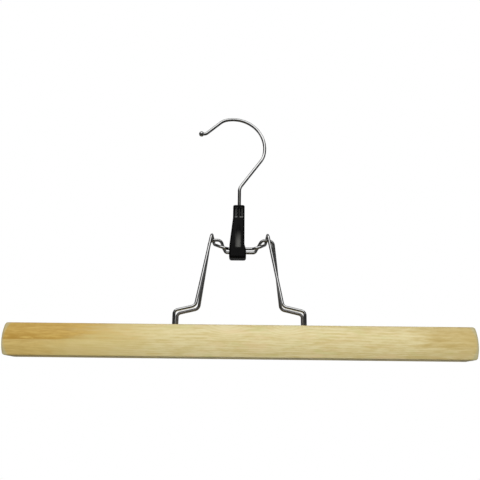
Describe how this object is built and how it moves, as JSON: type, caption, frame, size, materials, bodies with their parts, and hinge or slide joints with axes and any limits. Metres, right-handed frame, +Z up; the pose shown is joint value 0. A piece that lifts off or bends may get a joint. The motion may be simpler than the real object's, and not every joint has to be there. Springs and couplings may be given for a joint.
{
  "type": "trouser hanger",
  "caption": "Wooden clamp-bar trouser hanger: two half-round bars on interlocked bent-wire frames, a plastic flip lever and a chromed swivel hook.",
  "frame": {"origin": "rail seat: the highest point inside the hook, where it rests on a wardrobe rail", "axes": "+X along the bars towards the closed side of the hook, +Y from the front bar to the back bar, +Z up"},
  "size_m": [0.38, 0.0322, 0.2182],
  "materials": {
    "bar_wood": "pale close-grained hardwood under thin clear lacquer",
    "grip_felt": "thin pressed felt",
    "frame_chrome": "bright chromed spring wire",
    "lever_plastic": "black moulded plastic, half gloss",
    "hook_chrome": "bright chromed wire",
    "washer_steel": "plain steel washer"
  },
  "bodies": {
    "hook": {"hook": "hook_chrome"},
    "lever": {"lever": "lever_plastic", "swivel_washer": "washer_steel"},
    "front_clamp": {"front_frame": "frame_chrome", "front_bar": "bar_wood", "front_grip_strip": "grip_felt"},
    "back_clamp": {"back_frame": "frame_chrome", "back_bar": "bar_wood", "back_grip_strip": "grip_felt"}
  },
  "joints": [
    {"name": "hook_swivel", "type": "hinge", "parent": "hook", "child": "lever", "pos_m": [0.0068, 0, -0.084], "axis": [0, 0, 1], "continuous": true},
    {"name": "front_clamp_tilt", "type": "hinge", "parent": "lever", "child": "front_clamp", "pos_m": [0.0068, 0, -0.1226], "axis": [-1, 0, 0], "range_deg": [0, 68]},
    {"name": "back_clamp_tilt", "type": "hinge", "parent": "lever", "child": "back_clamp", "pos_m": [0.0068, 0, -0.1262], "axis": [-1, 0, 0], "range_deg": [0, 51]}
  ],
  "couplings": [
    {"joint": "back_clamp_tilt", "follows": "front_clamp_tilt", "ratio": 0.75}
  ]
}
